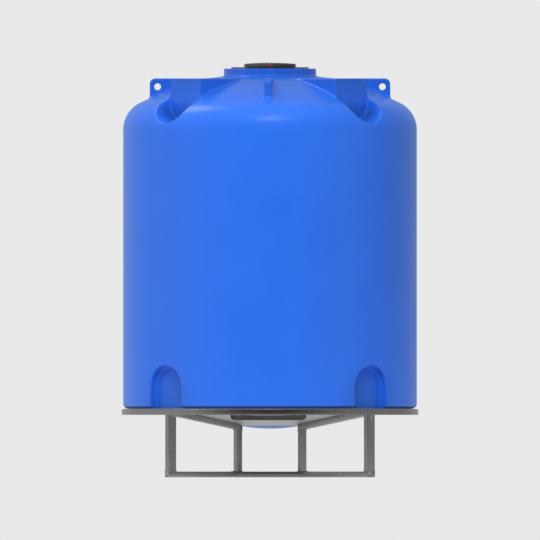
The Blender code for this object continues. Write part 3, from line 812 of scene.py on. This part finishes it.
def wire(name, path, radius, closed, swell):
    """A round wire along a path; swell scales its radius at each point."""
    curve = bpy.data.curves.new(name, "CURVE")
    curve.dimensions = "3D"
    curve.bevel_depth = radius
    curve.bevel_resolution = 2
    curve.use_fill_caps = True
    spline = curve.splines.new("POLY")
    spline.use_cyclic_u = closed
    spline.points.add(len(path) - 1)
    for point, place, share in zip(spline.points, path, swell):
        point.co = (*place, 1.0)
        point.radius = share
    holder = in_scene(name, curve)
    mesh = final_mesh(holder)
    bpy.data.objects.remove(holder)
    bpy.data.curves.remove(curve)
    return mesh


def pan_underside(radius):
    return PAN_APEX + CONE_SLOPE * radius


def rail_underside(radius):
    return pan_underside(radius) - GAP - TUBE_RISE


def notch_bar(angle):
    """A round bar that cuts the drain notch under a floor rail."""
    radius = (NOTCH_WIDTH**2 / 4 + NOTCH_DEPTH**2) / (2 * NOTCH_DEPTH)
    outward = direction(angle)
    middle = (INNER_END + OUTER_END) / 2
    centre = outward * middle + UP * (NOTCH_DEPTH - radius)
    return rod("notch_bar", radius, -TUBE, TUBE, 64, placed(centre, outward, UP.cross(outward)))


def corners_round(centre, outward, across, half):
    """Four corners of a square about a centre, in order."""
    return [centre + (outward * a + across * b) * half for a, b in ((1, 1), (-1, 1), (-1, -1), (1, -1))]


def steel(name, number, mesh, node=None):
    """A numbered piece of the stand and the CAD node that it stands for."""
    nodes = [f"{node}_{number}"] if node else []
    piece(f"{name}_{number}", mesh, "frame_steel", "stand", nodes)


def radial_frame(number, angle):
    """One upright frame: floor rail, two legs, sloped rail, welds and end plates."""
    outward, half = direction(angle), TUBE / 2
    across = UP.cross(outward)
    upright = TUBE + GAP
    place = placed(outward * INNER_END + UP * half, UP, outward)
    rail = tube_mesh("rail", OUTER_END - INNER_END, place, rings=6)
    rail = cut(rail, notch_bar(angle))
    steel("floor_rail", number, rail, "bottom_rail")
    ring_seat = RING_TOP - RING_WALL - GAP
    place = placed(outward * OUTER_LEG_RADIUS + UP * upright, outward, UP)
    leg = tube_mesh("leg", ring_seat - upright, place)
    steel("ring_leg", number, leg, "outer_leg")
    top = rail_underside(INNER_LEG_RADIUS) - GAP
    place = placed(outward * INNER_LEG_RADIUS + UP * upright, outward, UP)
    leg = tube_mesh("leg", top - upright, place, end_slope=CONE_SLOPE)
    steel("cone_leg", number, leg, "inner_leg")
    along = (outward + UP * CONE_SLOPE).normalized()
    normal = (UP - outward * CONE_SLOPE).normalized()
    start = outward * INNER_END + UP * (pan_underside(INNER_END) - GAP - TUBE_RISE / 2)
    length = (OUTER_LEG_RADIUS - half - GAP - INNER_END) / cos(CONE_ANGLE)
    rail = tube_mesh("rail", length, placed(start, normal, along), CONE_SLOPE, CONE_SLOPE)
    steel("cone_rail", number, rail, "sloped_rail")
    beads = []
    edge = half + 0.0004
    for radius in (OUTER_LEG_RADIUS, INNER_LEG_RADIUS):
        foot = outward * radius + UP * (TUBE + 0.0008)
        ring = corners_round(foot, outward, across, edge)
        beads.append(bead(ring, seed=number + radius))
    ring = corners_round(outward * INNER_LEG_RADIUS, outward, across, edge)
    for corner in ring:
        corner.z = rail_underside(corner.dot(outward)) - 0.0008
    beads.append(bead(ring, seed=number + 5.0))
    face = outward * (OUTER_LEG_RADIUS - edge)
    joint = pan_underside(OUTER_LEG_RADIUS - edge) - GAP
    low = [face + across * s * edge + UP * z for s, z in
           ((1, joint - 0.001), (1, joint - TUBE_RISE), (-1, joint - TUBE_RISE), (-1, joint - 0.001))]
    beads.append(bead(low, closed=False, seed=number + 9.0))
    under = RING_TOP - RING_WALL - 0.0012
    seat = [outward * (OUTER_LEG_RADIUS + a * edge) + across * b * edge + UP * under
            for a, b in ((1, -1), (-1, -1), (-1, 1), (1, 1))]
    beads.append(bead(seat, closed=False, seed=number + 3.0))
    for end, facing_out in ((OUTER_END, outward), (INNER_END, -outward)):
        beads.append(end_plate(placed(outward * end + UP * half, UP, facing_out)))
    steel("weld_beads", number, joined("weld_beads", beads))


def base_tie(number, angle):
    """A mitred floor tie between two inner legs, with a weld over each mitre."""
    outward = direction(angle)
    along = UP.cross(outward)
    half = TIE_OFFSET - (TUBE / 2 + GAP) * sqrt(2)
    start = outward * TIE_OFFSET - along * half + UP * (TUBE / 2)
    tie = tube_mesh("tie", 2 * half, placed(start, outward, along), -1.0, 1.0, rings=4)
    beads = []
    for side in (-1, 1):
        reach = side * (half + TUBE / 4)
        end = outward * TIE_OFFSET + along * reach
        out = outward * (TUBE / 2) + along * side * (TUBE / 2)
        top = UP * (TUBE + 0.0004)
        beads.append(bead([end - out + top, end + out + top], 0.0022, False, number + side))
    steel("floor_tie", number, tie, "base_tie")
    steel("tie_beads", number, joined("tie_beads", beads))


def pan_stiffener(number, angle):
    """An upright plate under the pan, with short welds at its top."""
    half, low = STIFFENER_WIDTH / 2, STIFFENER_BOTTOM
    near = STIFFENER_DISTANCE - STIFFENER_SHEET / 2
    across = [half - 2 * half * i / 24 for i in range(25)]
    top = [(x, pan_underside(hypot(near, x)) - GAP) for x in across]
    corner = STIFFENER_CORNER
    turns = np.linspace(0, pi / 2, 9)
    outline = [(-half + corner - corner * cos(a), low + corner - corner * sin(a)) for a in turns]
    outline += [(half - corner + corner * sin(a), low + corner - corner * cos(a)) for a in turns]
    outline += top
    centre = Vector((0.0, sum(z for _, z in outline) / len(outline)))
    sheet, soft = STIFFENER_SHEET / 2, SOFT_EDGE
    rings = []
    for depth, inwards in ((-sheet, soft), (-sheet + soft, 0.0), (sheet - soft, 0.0), (sheet, soft)):
        away = [(Vector(point) - centre).normalized() * inwards for point in outline]
        rings.append([(x - step.x, z - step.y, depth) for (x, z), step in zip(outline, away)])
    mesh = stacked("stiffener", rings)
    place = facing(angle, STIFFENER_DISTANCE)
    mesh.transform(place)
    steel("stiffener_plate", number, mesh, "pan_stiffener")
    beads = []
    for side in (-1, 1):
        for start in (0.20, 0.09):
            run = [side * (start - 0.012 * i) for i in range(3)]
            heights = [pan_underside(hypot(near, x)) - 0.0014 for x in run]
            path = [place @ Vector((x, z, sheet + 0.0006)) for x, z in zip(run, heights)]
            beads.append(bead(path, 0.0022, False, number + side))
    steel("stiffener_beads", number, joined("stiffener_beads", beads))


def top_ring():
    inner, flange = RING_RADIUS - RING_WALL, RING_RADIUS - RING_FLANGE
    bottom, below = RING_TOP - RING_HEIGHT, RING_TOP - RING_WALL
    profile = [(RING_RADIUS, RING_TOP), (RING_RADIUS, bottom), (inner, bottom), (inner, below),
               (flange, below), (flange, RING_TOP)]
    profile = softened(profile, [0.0045, 0.0012, 0.0012, 0.003, 0.0012, 0.0012])
    piece("seat_ring", lathe("seat_ring", profile, 192), "frame_steel", "stand", ["top_ring"])


def cone_pan():
    low, high = RING_TOP + GAP, RING_TOP + GAP + PAN_SHEET
    profile = [
        (PAN_HOLE_RADIUS, pan_underside(PAN_HOLE_RADIUS) + SHEET_RISE),
        ((high - PAN_APEX - SHEET_RISE) / CONE_SLOPE, high),
        (PAN_LIP_RADIUS, high),
        (PAN_LIP_RADIUS, low),
        ((low - PAN_APEX) / CONE_SLOPE, low),
        (PAN_HOLE_RADIUS, pan_underside(PAN_HOLE_RADIUS)),
    ]
    profile = softened(profile, [0.0008, 0.0, 0.001, 0.001, 0.0, 0.0008], 3)
    piece("dished_pan", lathe("dished_pan", profile, 192), "pan_sheet", "stand", ["cone_pan"])


top_ring()
cone_pan()
for number, angle in enumerate(FRAME_ANGLES, 1):
    radial_frame(number, angle)
for number, angle in enumerate(SIDE_ANGLES, 1):
    base_tie(number, angle)
    pan_stiffener(number, angle)


# The neck flange and its screws


def screw_places():
    """Each screw's place. Their crosses stand at odd angles, as a fitter leaves them."""
    places = []
    for i in range(FLANGE_SCREWS):
        angle = 360 * (i + 0.5) / FLANGE_SCREWS
        spin = Matrix.Rotation(radians(7.0 * angle), 4, "Z")
        places.append(Matrix.Translation(direction(angle) * SCREW_CIRCLE_RADIUS) @ spin)
    return places


def countersunk(extra, top_rise):
    """The profile of a screw, or of its hole when extra is the clearance."""
    head, shank = SCREW_HEAD_RADIUS + extra, SCREW_RADIUS + extra
    tip = FLANGE_TOP - SCREW_LENGTH - extra
    return [(0.0, FLANGE_TOP + top_rise), (head, FLANGE_TOP + top_rise),
            (head, FLANGE_TOP - 0.0006), (shank, FLANGE_TOP - SCREW_HEAD_DEPTH), (shank, tip), (0.0, tip)]


def thread_crest(z, angle, middle):
    """How high the thread's flat-topped crest stands, from 0 to 1."""
    turn = (z / THREAD_PITCH - angle / tau) % 1.0
    return min(1.0, 1.6 * max(0.0, 1.0 - abs(turn - middle) * 5.0))


def sleeve_wave(radius, z, angle):
    """The flange's thread, cut into its bore."""
    if abs(radius - FLANGE_BORE) > 1e-4:
        return radius
    return radius + 0.0011 * thread_crest(z, angle, 0.5)


def with_rows(a, b, count):
    """Points from a to b, both included."""
    return list(zip(np.linspace(a[0], b[0], count + 1), np.linspace(a[1], b[1], count + 1)))


def neck_flange():
    top, low, foot = FLANGE_TOP, FLANGE_BOTTOM, FLANGE_BOTTOM - SLEEVE_DEPTH
    profile = [(FLANGE_BORE + 0.0012, top), (FLANGE_RADIUS, top), (FLANGE_RADIUS, low),
               (SLEEVE_RADIUS, low), (SLEEVE_RADIUS, foot), (FLANGE_BORE, foot)]
    profile = softened(profile, [0.0, 0.0036, 0.0010, 0.0020, 0.0015, 0.0])
    profile += with_rows((FLANGE_BORE, foot + 0.0005), (FLANGE_BORE, top - 0.0012), 60)
    mesh = lathe("neck_flange", profile, 144, wave=sleeve_wave)
    holes = [lathe("hole", countersunk(0.0001, 0.004), 24, False, place) for place in screw_places()]
    return cut(mesh, joined("holes", holes))


def screw_mesh():
    """A countersunk screw with a cross recess in its head."""
    profile = softened(countersunk(0.0, -0.0001), [0, 0.0004, 0.0003, 0.0005, 0.0008, 0], 2, False)
    mesh = lathe("flange_screw", profile, 32, False)
    corners = ((-1, -1), (1, -1), (1, 1), (-1, 1))
    levels = ((FLANGE_TOP + 0.001, 0.0044, 0.0009), (FLANGE_TOP - 0.0024, 0.00154, 0.00055))
    for turn in (0, 90):
        rings = [[(x * reach, y * half, z) for x, y in corners] for z, reach, half in levels]
        slot = stacked("slot", rings)
        slot.transform(Matrix.Rotation(radians(turn), 4, "Z"))
        mesh = cut(mesh, slot)
    return mesh


def flat_ring(name, radii, low, thickness, corner, steps, body, node):
    """A flat rubber ring with rounded edges."""
    inner, outer = radii
    high = low + thickness
    profile = [(outer, high), (outer, low), (inner, low), (inner, high)]
    mesh = lathe(name, softened(profile, [corner] * 4, steps), 144)
    piece(name, mesh, "black_rubber", body, [node])


piece("threaded_flange", neck_flange(), "black_plastic", "tank", ["neck_flange"])
flat_ring("flat_gasket", GASKET_RADII, GASKET_BOTTOM, GASKET_THICKNESS, 0.0006, 3, "tank", "flange_gasket")
one_screw = screw_mesh()
for number, place in enumerate(screw_places(), 1):
    copy = one_screw.copy()
    copy.transform(place)
    piece(f"countersunk_screw_{number}", copy, "zinc_steel", "tank", [f"flange_screw_{number}"])


# The lid and its seal


def crown_height(radius):
    return LID_TOP - LID_CROWN_RISE * (radius / LID_CROWN_RADIUS) ** 2


def lid_wave(radius, z, angle):
    """Grip ribs on the tapered side and a thread on the skirt."""
    if radius > 0.1535 and LID_RIM + 0.002 < z < LID_TOP - 0.0088:
        crest = max(0.0, cos(angle * LID_GRIPS)) ** 2
        return radius + 0.0011 * crest
    if z < LID_RIM and abs(radius - LID_SKIRT_RADIUS) < 1e-4:
        return radius - 0.0007 + 0.0009 * thread_crest(z, angle, 0.05)
    return radius


def lid_cap():
    shoulder = crown_height(LID_CROWN_RADIUS)
    outer = [(r, crown_height(r) - groove(r)) for r in (LID_FLAT_RADIUS * i / 24 for i in range(1, 25))]
    edge = [(0.1490, shoulder), (0.1518, shoulder - 0.0005), (0.1540, shoulder - 0.0018),
            (0.1553, shoulder - 0.0038)]
    side = with_rows((0.1561, shoulder - 0.0060), (LID_FOOT_RADIUS - 0.0003, LID_RIM + 0.0012), 10)
    foot = [(LID_FOOT_RADIUS, LID_RIM + 0.0006), (LID_FOOT_RADIUS - 0.0006, LID_RIM),
            (LID_SKIRT_RADIUS + 0.0012, LID_RIM)]
    skirt_end = LID_RIM - LID_SKIRT_DEPTH
    skirt = with_rows((LID_SKIRT_RADIUS, LID_RIM - 0.0010), (LID_SKIRT_RADIUS, skirt_end + 0.001), 56)
    inner_radius = LID_SKIRT_RADIUS - LID_WALL
    ledge = LID_RIM + LID_WALL
    tail = [(LID_SKIRT_RADIUS - 0.001, skirt_end), (inner_radius, skirt_end),
            (inner_radius, ledge - 0.001), (inner_radius + 0.001, ledge),
            (LID_FOOT_RADIUS - LID_FOOT_WALL, ledge)]
    under = [LID_CROWN_RADIUS] + [LID_FLAT_RADIUS * i / 12 for i in range(12, -1, -1)]
    inside = [(r, crown_height(r) - LID_WALL) for r in under]
    profile = [(0.0, LID_TOP)] + outer + edge + side + foot + skirt + tail + inside
    mesh = lathe("screw_lid", profile, 288, False, wave=lid_wave)
    boss = softened([(0.0, 0.0), (BOSS_RADIUS, 0.0), (BOSS_RADIUS, -BOSS_LENGTH), (0.0, -BOSS_LENGTH)],
                    [0, 0.0008, 0, 0], 3, False)
    mesh = cut(mesh, lathe("boss", boss, 48, False, vent_place()), "UNION")
    return cut(mesh, rod("hole", VENT_HOLE_RADIUS, -0.02, 0.02, 48, vent_place()))


def groove(radius):
    """Two shallow rings in the lid's top."""
    return sum(0.0012 * max(0.0, 1.0 - abs(radius - at) / 0.006) for at in (0.036, 0.120))


def vent_place():
    return facing(270, BOSS_FACE) @ Matrix.Translation((0.0, VENT_HEIGHT, 0.0))


piece("screw_lid", lid_cap(), "black_plastic", "lid", ["lid_cap"])
flat_ring("ring_seal", SEAL_RADII, SEAL_BOTTOM, SEAL_THICKNESS, 0.001, 4, "lid_ring", "lid_seal")


# The breather, which points out of the lid's front


def vent_piece(name, profile, radii, slot, body, node, closed=True):
    mesh = lathe(name, softened(profile, radii, 3, closed), 48, closed, vent_place())
    piece(name, mesh, slot, body, [node])


vent_piece(
    "breather_body",
    [(0.0080, 0.0020), (0.0080, 0.0003), (0.0056, 0.0003), (0.0056, -0.0145),
     (0.0042, -0.0145), (0.0042, 0.0005), (0.0022, 0.0005), (0.0022, 0.0020)],
    [0.0004, 0.0004, 0.0003, 0.0005] + [0.0003] * 4, "black_plastic", "lid", "vent_body")
cap_inner, cap_roof = VENT_CAP_RADIUS - VENT_CAP_WALL, VENT_CAP_LENGTH - VENT_CAP_WALL
vent_piece(
    "breather_cover",
    [(0.0, VENT_CAP_LENGTH), (0.0062, VENT_CAP_LENGTH - 0.0004),
     (VENT_CAP_RADIUS, VENT_CAP_LENGTH - 0.0012), (VENT_CAP_RADIUS, 0.0006),
     (cap_inner, 0.0006), (cap_inner, cap_roof), (0.0, cap_roof)],
    [0, 0.004, 0.0026, 0.0003, 0.0003, 0.0010, 0], "red_plastic", "lid", "vent_cap", False)
vent_piece(
    "breather_poppet",
    [(0.0, 0.0002), (0.0038, 0.0002), (0.0038, -0.0010), (0.0011, -0.0010), (0.0011, -0.0140),
     (0.0, -0.0140)],
    [0, 0.0004, 0.0004, 0.0003, 0.0003, 0], "black_rubber", "vent_valve", "vent_poppet", False)
vent_piece(
    "breather_retainer", [(0.0039, -0.0128), (0.0039, -0.0140), (0.0016, -0.0140), (0.0016, -0.0128)],
    [0.0002] * 4, "zinc_steel", "lid", "vent_retainer")


def breather_spring():
    """Round wire with closed end turns, built at one length on a mesh of its own. The real spring shortens
    as the valve opens.
    """
    low, high = SPRING_ENDS[0] + GAP + SPRING_WIRE_RADIUS, SPRING_ENDS[1] - SPRING_WIRE_RADIUS
    flat = 2.1 * SPRING_WIRE_RADIUS
    stations = ((0, low), (1, low + flat), (SPRING_TURNS - 1, high - flat), (SPRING_TURNS, high))
    turns = np.linspace(0, SPRING_TURNS, 24 * SPRING_TURNS + 1)
    along = np.interp(turns, [t for t, _ in stations], [z for _, z in stations])
    path = [(SPRING_RADIUS * cos(tau * t), SPRING_RADIUS * sin(tau * t), z) for t, z in zip(turns, along)]
    mesh = wire("breather_spring", path, SPRING_WIRE_RADIUS, False, [1.0] * len(path))
    mesh.transform(vent_place())
    made = piece("breather_spring", mesh, "zinc_steel", "lid", ["vent_spring"])
    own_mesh(made)


breather_spring()


def aimed(name, data, place, target):
    """A camera or lamp that looks from a place at a target."""
    made = in_scene(name, data)
    made.location = place
    made.rotation_euler = (target - Vector(place)).to_track_quat("-Z", "Y").to_euler()
    return made


def camera_and_light():
    """The photograph's view: level, from one degree round towards +X."""
    centre = Vector((0.0, 0.0, 1.2705))
    away = Vector((sin(radians(1)), -cos(radians(1)), 0.0))
    data = bpy.data.cameras.new("view")
    data.type = "ORTHO"
    data.ortho_scale = 3.310
    data.clip_end = 50.0
    scene.camera = aimed("view", data, centre + away * 8.0, centre)
    for name, place, size, power, reflected in (
        ("light_front", (-0.5, -7.4, 6.4), (4.6, 2.9), 420.0, False),
        ("light_glint", (0.2, -6.1, 7.5), (1.5, 1.0), 85.0, True),
        ("light_left", (-3.6, 1.2, 7.7), (2.0, 2.0), 90.0, True),
    ):
        lamp = bpy.data.lights.new(name, "AREA")
        lamp.shape = "RECTANGLE"
        lamp.size, lamp.size_y = size
        lamp.energy = power
        holder = aimed(name, lamp, place, Vector((0.0, 0.0, 1.3)))
        holder.visible_camera = False
        holder.visible_glossy = reflected


def studio():
    """A pale backdrop for the camera. What lights the object is darker in front."""
    world = bpy.data.worlds.new("studio")
    scene.world = world
    world.use_nodes = True
    tree = world.node_tree
    tree.nodes.clear()
    add, link = tree.nodes.new, tree.links.new
    output = add("ShaderNodeOutputWorld")
    pick = add("ShaderNodeMixShader")
    rays = add("ShaderNodeLightPath")
    seen = add("ShaderNodeBackground")
    preset(seen, Color=(0.812, 0.812, 0.812, 1.0))
    lit = add("ShaderNodeBackground")
    place = add("ShaderNodeTexCoord")
    parts = add("ShaderNodeSeparateXYZ")
    link(place.outputs["Generated"], parts.inputs[0])
    both = add("ShaderNodeMath")
    both.operation = "MULTIPLY"
    front = add("ShaderNodeMapRange")
    preset(front, From_Min=-0.97, From_Max=-0.45, To_Min=0.04, To_Max=0.52)
    across = add("ShaderNodeMapRange")
    preset(across, From_Min=-1.0, From_Max=1.0, To_Min=1.40, To_Max=0.90)
    for socket, (axis, ramp) in enumerate((("Y", front), ("X", across))):
        link(parts.outputs[axis], ramp.inputs["Value"])
        link(ramp.outputs["Result"], both.inputs[socket])
    link(both.outputs[0], lit.inputs["Strength"])
    link(rays.outputs["Is Camera Ray"], pick.inputs[0])
    link(lit.outputs[0], pick.inputs[1])
    link(seen.outputs[0], pick.inputs[2])
    link(pick.outputs[0], output.inputs["Surface"])
    scene.view_settings.view_transform = "Standard"


def floor():
    """A pale disc under the stand, which fades into the backdrop."""
    mesh = lathe("floor", [(0.0, -0.0005), (4.0, -0.0005)], 96, False)
    made = in_scene("floor", mesh)
    n = Nodes("floor_paper")
    colour = n.mix(n.noise(0.8, 2.0), (0.50, 0.50, 0.50), (0.53, 0.53, 0.53))
    reach = n.add("ShaderNodeVectorMath", operation="LENGTH")
    n.link(n.place, reach.inputs[0])
    n.link(n.ranged(reach.outputs["Value"], 2.2, 3.9, 1.0, 0.0), n.shader.inputs["Alpha"])
    paper = n.bump(n.noise(120.0, 2.0), 0.0002)
    mesh.materials.append(n.finish(colour, 0.85, paper, Emission_Strength=0.45,
                                   Emission_Color=(1.0, 1.0, 1.0, 1.0)))


camera_and_light()
studio()
floor()
